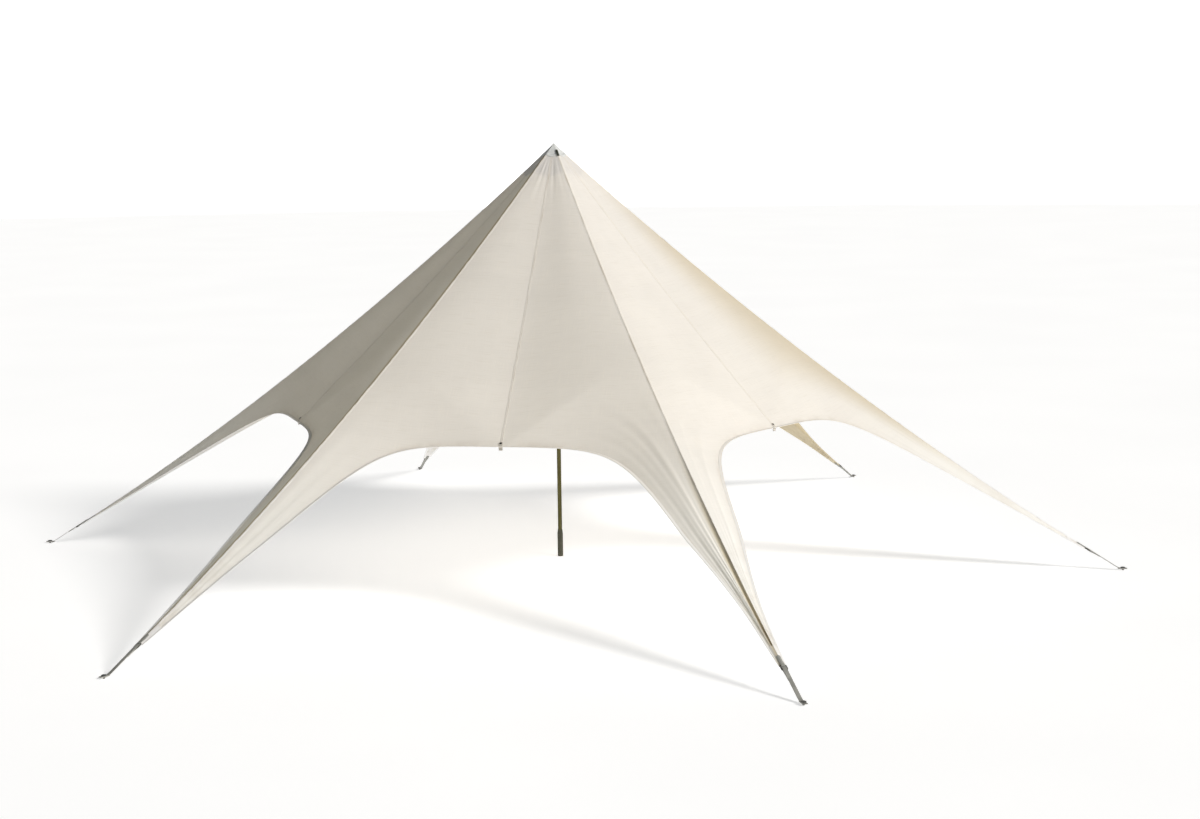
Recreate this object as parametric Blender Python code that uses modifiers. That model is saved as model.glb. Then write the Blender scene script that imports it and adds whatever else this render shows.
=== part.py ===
"""Star-shaped sun shelter on one centre pole: a fabric canopy with six legs that
run down to ground stakes, and an open arch between every two legs.
Metres, +Z up. The origin is on the ground, under the middle of the pole. One leg
points along +X and the others follow every 60 degrees."""
import bpy
import bmesh
import numpy as np
from math import atan2, cos, pi, radians, sin
from mathutils import Vector

LEG_COUNT = 6
BAY_ANGLE = 2 * pi / LEG_COUNT
GAP = 0.0003                   # air between two pieces that touch

# Canopy outline
APEX_HEIGHT = 3.00             # point where all seams would meet
STAKE_RADIUS = 4.00            # pole to stake
TIP_RADIUS = 3.74              # pole to the end of the fabric on a leg
ARCH_RADIUS = 1.90             # pole to the middle of an arch hem
ARCH_HEIGHT = 1.125            # height of the middle of an arch hem
HEM_END_RADIUS = 3.85          # pole to where a leg's two hems would meet, past the end of its fabric
HEM_END_DROP = 0.004           # of that point below the ridge
HEM_TIP_ANGLE = radians(9.8)   # between a hem and its leg's ridge there, in plan
HEM_TIP_RISE = 0.566           # rise of the hem there, per metre in plan
HEM_TIP_REACH = 1.893          # how far the hem keeps that direction
HEM_ARCH_REACH = 0.938         # how far the hem stays level at the middle of the arch
RIDGE_SAG = 0.155              # of a ridge seam below a straight line to the stake
VALLEY_SAG = 0.030             # of a valley seam
BULGE = 0.030                  # of a panel beside its ridge, as a share of its width
NECK_RADIUS = 0.035            # hole of the canopy at the pole head
SHEET_DROP = 0.004             # fabric thickness, measured straight down
VALLEY_ROWS, HEM_ROWS, COLUMNS = 9, 14, 6   # faces of one panel, down and across

# Centre pole and its top
TUBE_RADIUS, TUBE_WALL = 0.015, 0.0015
SPIGOT_LENGTH = 0.060          # reduced end that plugs into the next tube
JOINT_HEIGHTS = (1.05, 2.00)
FOOT_RADIUS, FOOT_HEIGHT, FOOT_SOLE = 0.020, 0.20, 0.015
HEAD_RADIUS, HEAD_THICKNESS = 0.052, 0.016
SPIKE_RADIUS, SPIKE_HEIGHT = 0.006, 0.025
CAP_RADIUS, CAP_THICKNESS, CAP_CLEARANCE = 0.092, 0.004, 0.0012
CAP_STEPS = 4                  # flats of the cap in half a bay

# Leg ends
BUCKLE_LENGTH, BUCKLE_WIDTH, BUCKLE_THICKNESS = 0.038, 0.042, 0.005
BUCKLE_BAR = 0.0055
STRAP_WIDTH, STRAP_THICKNESS, STRAP_BEND = 0.027, 0.003, 0.012
STRAP_END = 0.026              # strap beyond the stake
STAKE_PIN_RADIUS, STAKE_HEAD_RADIUS = 0.007, 0.016
STAKE_HEAD_BASE, STAKE_HEAD_THICKNESS = 0.016, 0.006
STAKE_CLEARANCE = 0.050        # where the strap, before it bends level, would reach the height of the head

# Tab in the middle of an arch
TAB_WIDTH, TAB_LENGTH, TAB_THICKNESS, TAB_HOLE_RADIUS = 0.024, 0.024, 0.004, 0.005


def clear_scene():
    for item in list(bpy.data.objects):
        bpy.data.objects.remove(item, do_unlink=True)


def make_material(name, colour, roughness, metallic=0.0):
    material = bpy.data.materials.new(name)
    material.use_nodes = True
    shader = material.node_tree.nodes["Principled BSDF"]
    shader.inputs["Base Color"].default_value = (*colour, 1)
    shader.inputs["Roughness"].default_value = roughness
    shader.inputs["Metallic"].default_value = metallic
    material.diffuse_color = (*colour, 1)
    return material


def add_object(name, mesh, material, azimuth=0.0, smooth=False):
    item = bpy.data.objects.new(name, mesh)
    part_collection.objects.link(item)
    mesh.materials.append(material)
    for face in mesh.polygons:
        face.use_smooth = smooth
    item.rotation_euler.z = azimuth
    item.parent = tent
    return item


def mesh_from_bmesh(name, bm):
    bmesh.ops.recalc_face_normals(bm, faces=bm.faces)
    mesh = bpy.data.meshes.new(name)
    bm.to_mesh(mesh)
    bm.free()
    return mesh


def place(item, radius, azimuth, height=0.0, tilt=0.0):
    """Puts an object out along a leg or a bay, turned to face outward."""
    item.location = (radius * cos(azimuth), radius * sin(azimuth), height)
    item.rotation_euler = (0, tilt, azimuth)


def lathe(name, profile, material, steps=32):
    """Body of revolution from (radius, height) points; a profile off the axis is closed into a tube."""
    mesh = bpy.data.meshes.new(name)
    points = [(radius, 0, height) for radius, height in profile]
    edges = [(i, i + 1) for i in range(len(points) - 1)]
    if profile[0][0] > 0:
        edges.append((len(points) - 1, 0))
    mesh.from_pydata(points, edges, [])
    item = add_object(name, mesh, material, smooth=True)
    turn = item.modifiers.new("turn", "SCREW")
    turn.steps = turn.render_steps = steps
    turn.use_merge_vertices = True
    turn.merge_threshold = 0.0001
    turn.use_normal_flip = True
    return item


def add_cutter(name, mesh):
    item = bpy.data.objects.new(name, mesh)
    cutter_collection.objects.link(item)
    item.hide_render = True
    item.display_type = "WIRE"
    item.parent = tent
    return item


def drill(name, radius, length):
    """Round cutter along its own Z."""
    bm = bmesh.new()
    bmesh.ops.create_cone(bm, cap_ends=True, segments=24, radius1=radius, radius2=radius, depth=length)
    return add_cutter(name, mesh_from_bmesh(name, bm))


def cut(item, tool):
    boolean = item.modifiers.new("hole", "BOOLEAN")
    boolean.operation = "DIFFERENCE"
    boolean.solver = "EXACT"
    boolean.object = tool


# Canopy surface, for the leg along +X and the half bay on its left

def ridge_height(x):
    t = x / STAKE_RADIUS
    return (1 - t) * (APEX_HEIGHT - 4 * RIDGE_SAG * t)


def valley_point(radius):
    t = radius / ARCH_RADIUS
    height = APEX_HEIGHT + (ARCH_HEIGHT - APEX_HEIGHT) * t - 4 * VALLEY_SAG * t * (1 - t)
    return Vector((radius * cos(BAY_ANGLE / 2), radius * sin(BAY_ANGLE / 2), height))


def hem_point(u):
    """Point of the arch hem: 0 is where a leg's hems would meet, 1 the middle of the arch."""
    half_bay = BAY_ANGLE / 2
    start = Vector((HEM_END_RADIUS, 0, ridge_height(HEM_END_RADIUS) - HEM_END_DROP))
    start_handle = start + HEM_TIP_REACH * Vector((-cos(HEM_TIP_ANGLE), sin(HEM_TIP_ANGLE), HEM_TIP_RISE))
    end = valley_point(ARCH_RADIUS)
    end_handle = end + HEM_ARCH_REACH * Vector((sin(half_bay), -cos(half_bay), 0))
    v = 1 - u
    return v ** 3 * start + 3 * v * v * u * start_handle + 3 * v * u * u * end_handle + u ** 3 * end


def find_tip():
    """Where along the hem the fabric of the leg ends."""
    low, high = 0.0, 0.5
    for _ in range(40):
        middle = (low + high) / 2
        if hem_point(middle).x > TIP_RADIUS:
            low = middle
        else:
            high = middle
    return low


HEM_START = find_tip()


def canopy_point(edge, share):
    """Outer surface straight in from a point of the valley or hem; share is 0 at the ridge and 1 there."""
    bulge = BULGE * edge.y * 6.75 * share * (1 - share) ** 2
    height = (1 - share) * ridge_height(edge.x) + share * edge.z + bulge
    return Vector((edge.x, share * edge.y, height))


def canopy_panel(name, side, azimuth, material):
    """Half a leg's fabric, between its ridge seam and the next valley seam."""
    edges = [valley_point(NECK_RADIUS + (ARCH_RADIUS - NECK_RADIUS) * row / VALLEY_ROWS)
             for row in range(VALLEY_ROWS)]
    edges += [hem_point(HEM_START + (1 - HEM_START) * (1 - row / HEM_ROWS)) for row in range(HEM_ROWS + 1)]
    inward = Vector((sin(BAY_ANGLE / 2), -cos(BAY_ANGLE / 2), 0)) * GAP / 2
    bm = bmesh.new()
    grid = []
    for row, edge in enumerate(edges):
        line = [canopy_point(edge, column / COLUMNS) for column in range(COLUMNS + 1)]
        line[0] += Vector((0, GAP / 2, 0))
        if row <= VALLEY_ROWS:
            line[-1] += inward
        grid.append([bm.verts.new((point.x, side * point.y, point.z)) for point in line])
    faces = [bm.faces.new((a[i], b[i], b[i + 1], a[i + 1]))
             for a, b in zip(grid, grid[1:]) for i in range(COLUMNS)]
    under = bmesh.ops.extrude_face_region(bm, geom=faces, use_keep_orig=True)["geom"]
    bmesh.ops.translate(bm, vec=(0, 0, -SHEET_DROP),
                        verts=[v for v in under if isinstance(v, bmesh.types.BMVert)])
    return add_object(name, mesh_from_bmesh(name, bm), material, azimuth)


def build_canopy():
    for leg in range(LEG_COUNT):
        for side, word in ((1, "left"), (-1, "right")):
            canopy_panel(f"canopy_panel_{leg + 1}_{word}", side, leg * BAY_ANGLE, fabric)


# Pole, from the ground up

def build_pole():
    bore = TUBE_RADIUS + GAP
    foot = [(0, 0), (FOOT_RADIUS - 0.003, 0), (FOOT_RADIUS, 0.003), (FOOT_RADIUS, FOOT_HEIGHT - 0.03),
            (FOOT_RADIUS - 0.003, FOOT_HEIGHT), (bore, FOOT_HEIGHT), (bore, FOOT_SOLE), (0, FOOT_SOLE)]
    lathe("pole_foot", foot, foot_rubber)
    starts = (FOOT_SOLE + GAP, *(height + GAP for height in JOINT_HEIGHTS))
    inner = TUBE_RADIUS - TUBE_WALL
    spigot = inner - GAP
    for word, start, end in zip(("lower", "middle"), starts, JOINT_HEIGHTS):
        tube = [(inner, start), (TUBE_RADIUS, start), (TUBE_RADIUS, end), (spigot, end),
                (spigot, end + SPIGOT_LENGTH), (spigot - TUBE_WALL, end + SPIGOT_LENGTH),
                (spigot - TUBE_WALL, end - 0.02), (inner, end - 0.03)]
        lathe(f"pole_tube_{word}", tube, pole_steel)
    head_base = HEAD_TOP - HEAD_THICKNESS
    tube_top = head_base - GAP
    tube = [(inner, starts[2]), (TUBE_RADIUS, starts[2]), (TUBE_RADIUS, tube_top), (inner, tube_top)]
    lathe("pole_tube_upper", tube, pole_steel)
    plug = inner - GAP
    head = [(0, head_base - 0.03), (plug, head_base - 0.03), (plug, head_base),
            (HEAD_RADIUS - 0.004, head_base), (HEAD_RADIUS, head_base + 0.004), (HEAD_RADIUS, HEAD_TOP),
            (SPIKE_RADIUS, HEAD_TOP), (SPIKE_RADIUS, HEAD_TOP + SPIKE_HEIGHT - 0.004),
            (SPIKE_RADIUS - 0.003, HEAD_TOP + SPIKE_HEIGHT), (0, HEAD_TOP + SPIKE_HEIGHT)]
    lathe("pole_head", head, head_plastic)


def build_cap():
    """Fabric cap over the peak, with the canopy's own ridges and valleys."""
    half_bay = []
    for step in range(CAP_STEPS + 1):
        azimuth = BAY_ANGLE / 2 * step / CAP_STEPS
        edge = valley_point(CAP_RADIUS * cos(azimuth) / cos(BAY_ANGLE / 2))
        point = canopy_point(edge, CAP_RADIUS * sin(azimuth) / edge.y)
        half_bay.append((azimuth, point.z + CAP_CLEARANCE))
    bay = half_bay + [(BAY_ANGLE - azimuth, height) for azimuth, height in reversed(half_bay[1:-1])]
    ring = [Vector((CAP_RADIUS * cos(a + leg * BAY_ANGLE), CAP_RADIUS * sin(a + leg * BAY_ANGLE), height))
            for leg in range(LEG_COUNT) for a, height in bay]
    bm = bmesh.new()
    peak = Vector((0, 0, APEX_HEIGHT + CAP_CLEARANCE))
    lift = Vector((0, 0, CAP_THICKNESS))
    low = [bm.verts.new(p) for p in ring]
    high = [bm.verts.new(p + lift) for p in ring]
    low_peak, high_peak = bm.verts.new(peak), bm.verts.new(peak + lift)
    for i in range(len(ring)):
        j = (i + 1) % len(ring)
        bm.faces.new((low[j], low[i], low_peak))
        bm.faces.new((high[i], high[j], high_peak))
        bm.faces.new((low[i], low[j], high[j], high[i]))
    add_object("apex_cap", mesh_from_bmesh("apex_cap", bm), cap_fabric)


# Leg ends: buckle, strap and stake

def build_buckle(leg):
    name = f"buckle_{leg + 1}"
    bm = bmesh.new()
    bmesh.ops.create_cube(bm, size=1)
    bmesh.ops.scale(bm, vec=(BUCKLE_LENGTH, BUCKLE_WIDTH, BUCKLE_THICKNESS), verts=bm.verts)
    buckle = add_object(name, mesh_from_bmesh(name, bm), buckle_steel)
    edge = buckle.modifiers.new("rounding", "BEVEL")
    edge.width, edge.segments = 0.0012, 1
    bm = bmesh.new()
    slot = (BUCKLE_LENGTH - 3 * BUCKLE_BAR) / 2
    for side in (-1, 1):
        made = bmesh.ops.create_cube(bm, size=1)["verts"]
        bmesh.ops.scale(bm, vec=(slot, BUCKLE_WIDTH - 2 * BUCKLE_BAR, 3 * BUCKLE_THICKNESS), verts=made)
        bmesh.ops.translate(bm, vec=(side * (slot + BUCKLE_BAR) / 2, 0, 0), verts=made)
    slots = add_cutter(f"{name}_slots", mesh_from_bmesh(f"{name}_slots", bm))
    cut(buckle, slots)
    for item in (buckle, slots):
        place(item, BUCKLE_RADIUS, leg * BAY_ANGLE, BUCKLE_Z, STRAP_TILT)


def build_strap(leg):
    """Webbing over two bars of the buckle, down to the stake and flat under its head."""
    name = f"strap_{leg + 1}"
    rise = BUCKLE_THICKNESS / 2 + GAP + STRAP_THICKNESS / 2
    start = Vector((BUCKLE_RADIUS, 0, BUCKLE_Z)) + rise * STRAP_UP - BUCKLE_BAR / 2 * STRAP_ALONG
    level = STAKE_HEAD_BASE - GAP - STRAP_THICKNESS / 2
    bend = start + STRAP_ALONG * (start.z - level) / -STRAP_ALONG.z
    end = Vector((STAKE_RADIUS + STRAP_END, 0, level))
    route = [(start, STRAP_UP)]
    outward, upward = Vector((1, 0, 0)), Vector((0, 0, 1))
    for share in (0, 0.25, 0.5, 0.75, 1):
        centre = bend + STRAP_BEND * (share ** 2 * outward - (1 - share) ** 2 * STRAP_ALONG)
        route.append((centre, STRAP_UP.slerp(upward, share)))
    route.append((end, upward))
    bm = bmesh.new()
    rings = []
    for centre, up in route:
        corners = [(y, side) for side in (1, -1) for y in (-side * STRAP_WIDTH / 2, side * STRAP_WIDTH / 2)]
        rings.append([bm.verts.new(centre + Vector((0, y, 0)) + side * STRAP_THICKNESS / 2 * up)
                      for y, side in corners])
    for a, b in zip(rings, rings[1:]):
        for i in range(4):
            j = (i + 1) % 4
            bm.faces.new((a[i], a[j], b[j], b[i]))
    bm.faces.new(rings[0])
    bm.faces.new(rings[-1])
    strap = add_object(name, mesh_from_bmesh(name, bm), webbing, leg * BAY_ANGLE)
    hole = drill(f"{name}_hole", STAKE_PIN_RADIUS + GAP, 0.02)
    place(hole, STAKE_RADIUS, leg * BAY_ANGLE, level)
    cut(strap, hole)


def build_stake(leg):
    top = STAKE_HEAD_BASE + STAKE_HEAD_THICKNESS
    profile = [(0, 0), (STAKE_PIN_RADIUS, 0), (STAKE_PIN_RADIUS, STAKE_HEAD_BASE),
               (STAKE_HEAD_RADIUS, STAKE_HEAD_BASE), (STAKE_HEAD_RADIUS, top - 0.002),
               (STAKE_HEAD_RADIUS - 0.003, top), (0, top)]
    stake = lathe(f"stake_{leg + 1}", profile, stake_steel, steps=24)
    place(stake, STAKE_RADIUS, leg * BAY_ANGLE)


def build_arch_tab(bay):
    """Webbing tab that hangs from the middle of an arch hem, with an eyelet."""
    name = f"arch_tab_{bay + 1}"
    azimuth = (bay + 0.5) * BAY_ANGLE
    top = ARCH_HEIGHT - SHEET_DROP - GAP
    half = TAB_WIDTH / 2
    eye = half - TAB_LENGTH
    outline = [(half, 0), (-half, 0)]
    outline += [(-half * cos(a), eye - half * sin(a)) for a in np.linspace(0, pi, 13)]
    bm = bmesh.new()
    front = [bm.verts.new((TAB_THICKNESS / 2, y, z)) for y, z in outline]
    back = bmesh.ops.extrude_face_region(bm, geom=[bm.faces.new(front)], use_keep_orig=True)["geom"]
    bmesh.ops.translate(bm, vec=(-TAB_THICKNESS, 0, 0),
                        verts=[v for v in back if isinstance(v, bmesh.types.BMVert)])
    tab = add_object(name, mesh_from_bmesh(name, bm), tab_webbing)
    radius = ARCH_RADIUS - TAB_THICKNESS / 2 - GAP
    place(tab, radius, azimuth, top)
    hole = drill(f"{name}_eyelet", TAB_HOLE_RADIUS, 0.02)
    place(hole, radius, azimuth, top + eye, pi / 2)
    cut(tab, hole)


HEAD_TOP = valley_point(HEAD_RADIUS).z - SHEET_DROP - GAP
TIP_HEIGHT = hem_point(HEM_START).z
STRAP_TILT = atan2(TIP_HEIGHT - STAKE_HEAD_BASE, STAKE_RADIUS - STAKE_CLEARANCE - TIP_RADIUS)
STRAP_ALONG = Vector((cos(STRAP_TILT), 0, -sin(STRAP_TILT)))
STRAP_UP = Vector((sin(STRAP_TILT), 0, cos(STRAP_TILT)))
BUCKLE_RADIUS = (TIP_RADIUS + GAP + BUCKLE_LENGTH / 2 * cos(STRAP_TILT)
                 + BUCKLE_THICKNESS / 2 * sin(STRAP_TILT))
BUCKLE_Z = TIP_HEIGHT + 0.004 - BUCKLE_LENGTH / 2 * sin(STRAP_TILT)

clear_scene()
part_collection = bpy.data.collections.new("star_sun_shelter")
cutter_collection = bpy.data.collections.new("cutters")
for collection in (part_collection, cutter_collection):
    bpy.context.scene.collection.children.link(collection)
tent = bpy.data.objects.new("tent_origin", None)
part_collection.objects.link(tent)

fabric = make_material("canopy_fabric", (0.80, 0.75, 0.66), 0.85)
cap_fabric = make_material("cap_fabric", (0.62, 0.63, 0.60), 0.85)
webbing = make_material("webbing", (0.45, 0.46, 0.42), 0.80)
tab_webbing = make_material("tab_webbing", (0.42, 0.33, 0.24), 0.80)
buckle_steel = make_material("buckle_steel", (0.16, 0.16, 0.15), 0.40, 0.9)
stake_steel = make_material("stake_steel", (0.22, 0.22, 0.22), 0.45, 0.9)
pole_steel = make_material("pole_steel", (0.09, 0.075, 0.025), 0.45, 0.3)
foot_rubber = make_material("foot_rubber", (0.085, 0.085, 0.06), 0.75)
head_plastic = make_material("head_plastic", (0.05, 0.05, 0.05), 0.50)

build_canopy()
build_pole()
build_cap()
for number in range(LEG_COUNT):
    build_buckle(number)
    build_strap(number)
    build_stake(number)
    build_arch_tab(number)
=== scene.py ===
"""Looks of the star-shaped sun shelter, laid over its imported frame. Metres, +Z up. One leg points
along +X and the others follow every 60 degrees; legs 5 and 6 are the two in front."""
from math import atan2, cos, hypot, pi, radians, sin, tan

import bpy
import numpy as np
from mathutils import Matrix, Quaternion, Vector


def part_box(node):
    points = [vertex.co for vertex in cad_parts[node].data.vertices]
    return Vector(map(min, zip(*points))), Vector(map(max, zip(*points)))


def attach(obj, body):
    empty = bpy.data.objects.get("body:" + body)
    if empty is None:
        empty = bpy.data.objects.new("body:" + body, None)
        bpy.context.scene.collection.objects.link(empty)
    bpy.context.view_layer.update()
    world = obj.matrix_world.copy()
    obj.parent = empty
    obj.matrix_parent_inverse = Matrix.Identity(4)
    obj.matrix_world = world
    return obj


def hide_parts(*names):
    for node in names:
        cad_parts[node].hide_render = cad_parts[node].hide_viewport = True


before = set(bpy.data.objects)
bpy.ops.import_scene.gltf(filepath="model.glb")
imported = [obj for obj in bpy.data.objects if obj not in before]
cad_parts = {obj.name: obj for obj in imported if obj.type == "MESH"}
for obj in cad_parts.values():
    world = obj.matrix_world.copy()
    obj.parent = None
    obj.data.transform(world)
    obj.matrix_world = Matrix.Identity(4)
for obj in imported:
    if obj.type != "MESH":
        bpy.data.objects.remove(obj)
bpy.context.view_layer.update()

# Canopy outline, as in the CAD model
LEG_COUNT = 6
BAY_ANGLE = 2 * pi / LEG_COUNT
HALF_BAY = BAY_ANGLE / 2
APEX_HEIGHT = 3.00
STAKE_RADIUS = 4.00
TIP_RADIUS = 3.74              # where the cloth of a leg ends
ARCH_RADIUS = 1.90             # of the middle of an arch's hem
ARCH_HEIGHT = 1.125
HEM_END_RADIUS = 3.85          # where a leg's two hems would meet
HEM_END_DROP = 0.004
HEM_TIP_ANGLE = radians(9.8)
HEM_TIP_RISE = 0.566
HEM_TIP_REACH = 1.893
HEM_ARCH_REACH = 0.938
RIDGE_SAG = 0.155
VALLEY_SAG = 0.030
BULGE = 0.030
NECK_RADIUS = 0.035
CLOTH_DROP = 0.0018            # of the cloth's middle below the top of its solid

# Make of the canopy
CLOTH_ROWS, CLOTH_COLUMNS = 150, 40
HEM_STEPS = 800
SEAM_WIDTHS = {"ridge": 0.020, "valley": 0.014}
SEAM_START = 0.045             # of a seam, from the pole
HEM_WIDTH = 0.018
HALF_HEM_LENGTH = 2.9
STRIP_LIFT = 0.0013            # of a seam or hem layer over the cloth
STRIP_STEP = 0.015             # between two rows of a strip
STRIP_WEAR = 0.05
CAP_RADIUS = 0.092

# Leg ends, arch tabs and pole, as in the CAD model
BUCKLE_LENGTH, BUCKLE_WIDTH, BUCKLE_THICKNESS = 0.038, 0.042, 0.005
BUCKLE_BAR, BUCKLE_CORNER = 0.0055, 0.005
STRAP_WIDTH, WEBBING_THICKNESS = 0.027, 0.0026
STRAP_LEVEL, STRAP_END, STAKE_CLEARANCE = 0.0142, 0.026, 0.050
STRAP_LAYER = 0.0032           # between the strap and its end that is folded back under it
STAKE_HEAD_BASE, STAKE_PIN_RADIUS = 0.016, 0.007
TAB_WIDTH, TAB_LENGTH = 0.024, 0.024
POLE_JOINTS, TUBE_RADIUS = (1.05, 2.00), 0.015

# Camera and light
CAMERA_PLACE = (2.628, -13.381, 3.039)
CAMERA_AIM = (0.298, 0.0586, 1.0805)
CAMERA_ROLL = -0.0128
CAMERA_LENS = 56.91
KEY_AZIMUTH, KEY_ELEVATION = radians(-22), radians(31)
KEY_STRENGTH, KEY_SPREAD, KEY_COLOUR = 2.85, radians(12), (1.0, 0.975, 0.945)
SKY_STRENGTH, SKY_COLOUR = 0.12, (0.95, 1.0, 1.0, 1)
STUDIO_RADIUS, STUDIO_SIDES = 70.0, 96
STUDIO_PAINT = (0.80, 0.80, 0.80)
FLOOR_GLOW, BACKDROP_GLOW = 0.53, 1.0

# Colours that the canvas is mixed with: painted light that makes it lighter towards the leg ends,
# and its thread
PAINTED_LEG_LIGHT = (0.97, 0.965, 0.955)
THREAD = (0.60, 0.53, 0.43)
# Colours that the canvas is multiplied by
BANDED = (0.97, 0.97, 0.97)
DARK_WEFT = (0.86, 0.84, 0.80)
LIGHT_WARP = (1.10, 1.09, 1.07)
# Painted warm shade, where the cloth is turned from the light or lit only through it
PAINTED_SHADE_TINT = (0.62, 0.51, 0.28)
# Grime, and painted shade along the shaded side of some seams
DIRT_AND_SHADE_TINT = (0.52, 0.43, 0.32)
# Painted shade in the grooves beside stitches
GROOVE_SHADE = (0.78, 0.72, 0.63)
LIGHT_THROUGH = (0.98, 0.90, 0.61)
# Other finishes
WEBBING_SHADE, WEBBING_EDGE = (0.62, 0.60, 0.56), (0.66, 0.63, 0.58)
METAL_DUST, MOULDED_DUST = (0.42, 0.38, 0.30), (0.30, 0.27, 0.20)
WEAVE_PITCH = 0.0016
STITCH_PITCH, STITCH_HALF_WIDTH, PUCKER_WIDTH = 0.0052, 0.0006, 0.0022
RIB_PITCH, CHEVRON_PITCH, CHEVRON_LEAN = 0.0048, 0.0022, 0.0012


def make_camera():
    data = bpy.data.cameras.new("camera")
    data.lens, data.sensor_width = CAMERA_LENS, 36
    camera = bpy.data.objects.new("camera", data)
    bpy.context.scene.collection.objects.link(camera)
    camera.location = CAMERA_PLACE
    turn = (Vector(CAMERA_AIM) - Vector(CAMERA_PLACE)).to_track_quat("-Z", "Y")
    camera.rotation_mode = "QUATERNION"
    camera.rotation_quaternion = turn @ Quaternion((0, 0, 1), CAMERA_ROLL)
    bpy.context.scene.camera = camera


def make_light():
    """Low soft sun from the right, and a faint sky."""
    data = bpy.data.lights.new("key", "SUN")
    data.energy, data.angle, data.color = KEY_STRENGTH, KEY_SPREAD, KEY_COLOUR
    key = bpy.data.objects.new("key", data)
    bpy.context.scene.collection.objects.link(key)
    towards = Vector((cos(KEY_AZIMUTH) * cos(KEY_ELEVATION),
                      sin(KEY_AZIMUTH) * cos(KEY_ELEVATION), sin(KEY_ELEVATION)))
    key.rotation_mode = "QUATERNION"
    key.rotation_quaternion = towards.to_track_quat("Z", "Y")
    world = bpy.data.worlds.new("studio")
    world.use_nodes = True
    sky = world.node_tree.nodes["Background"]
    sky.inputs["Color"].default_value = SKY_COLOUR
    sky.inputs["Strength"].default_value = SKY_STRENGTH
    bpy.context.scene.world = world
    bpy.context.scene.view_settings.view_transform = "Standard"


# Node materials

def feed(tree, socket, value):
    """Gives an input another node's output, a number, or a colour of three numbers."""
    if isinstance(value, bpy.types.NodeSocket):
        tree.links.new(value, socket)
    else:
        socket.default_value = (*value, 1) if socket.type == "RGBA" else value


def node(tree, kind, **values):
    """Adds a shader node; values are inputs, as numbers or other nodes' sockets, or settings."""
    made = tree.nodes.new("ShaderNode" + kind)
    for word, value in values.items():
        word = word.replace("_", " ") if word.replace("_", " ") in made.inputs else word
        if word in made.inputs:
            feed(tree, made.inputs[word], value)
        else:
            setattr(made, word, value)
    return made


def sums(tree, operation, first, second=0.5):
    """Result of a sum on numbers or sockets."""
    made = node(tree, "Math", operation=operation)
    feed(tree, made.inputs[0], first)
    feed(tree, made.inputs[1], second)
    return made.outputs[0]


def blend(tree, share, first, second, mode="MIX"):
    """Colour between first and second, which are colours or sockets."""
    made = node(tree, "Mix", data_type="RGBA", blend_type=mode)
    for index, value in ((0, share), (6, first), (7, second)):
        feed(tree, made.inputs[index], value)
    return made.outputs[2]


def ramp(tree, value, low, high, start=0.0, end=1.0):
    """Value moved smoothly from the range low..high to start..end."""
    return node(tree, "MapRange", interpolation_type="SMOOTHSTEP", Value=value, From_Min=low,
                From_Max=high, To_Min=start, To_Max=end).outputs[0]


def noise(tree, place, scale, detail=3.0, stretch=(1, 1, 1)):
    spread = node(tree, "Mapping", Vector=place, Scale=stretch).outputs[0]
    return node(tree, "TexNoise", Vector=spread, Scale=scale, Detail=detail).outputs["Fac"]


def wave(tree, distance, pitch):
    return sums(tree, "SINE", sums(tree, "MULTIPLY", distance, 2 * pi / pitch))


def times(tint, factor, more=0.0):
    return [factor * c + more for c in tint]


def new_material(name, tint):
    """Material with its tree, its Principled shader, and the cloth and the space coordinates."""
    material = bpy.data.materials.new(name)
    material.use_nodes = True
    material.diffuse_color = (*tint, 1)
    tree = material.node_tree
    places = tree.nodes.new("ShaderNodeTexCoord").outputs
    return material, tree, tree.nodes["Principled BSDF"], places["UV"], places["Object"]


def surface(tree, shader, tone, roughness, height, strength, distance):
    """Gives a shader its colour, its roughness and the bumps of a height, which it returns."""
    bump = node(tree, "Bump", Strength=strength, Distance=distance, Height=height).outputs[0]
    feed(tree, shader.inputs["Base Color"], tone)
    feed(tree, shader.inputs["Roughness"], roughness)
    feed(tree, shader.inputs["Normal"], bump)
    return bump


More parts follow.
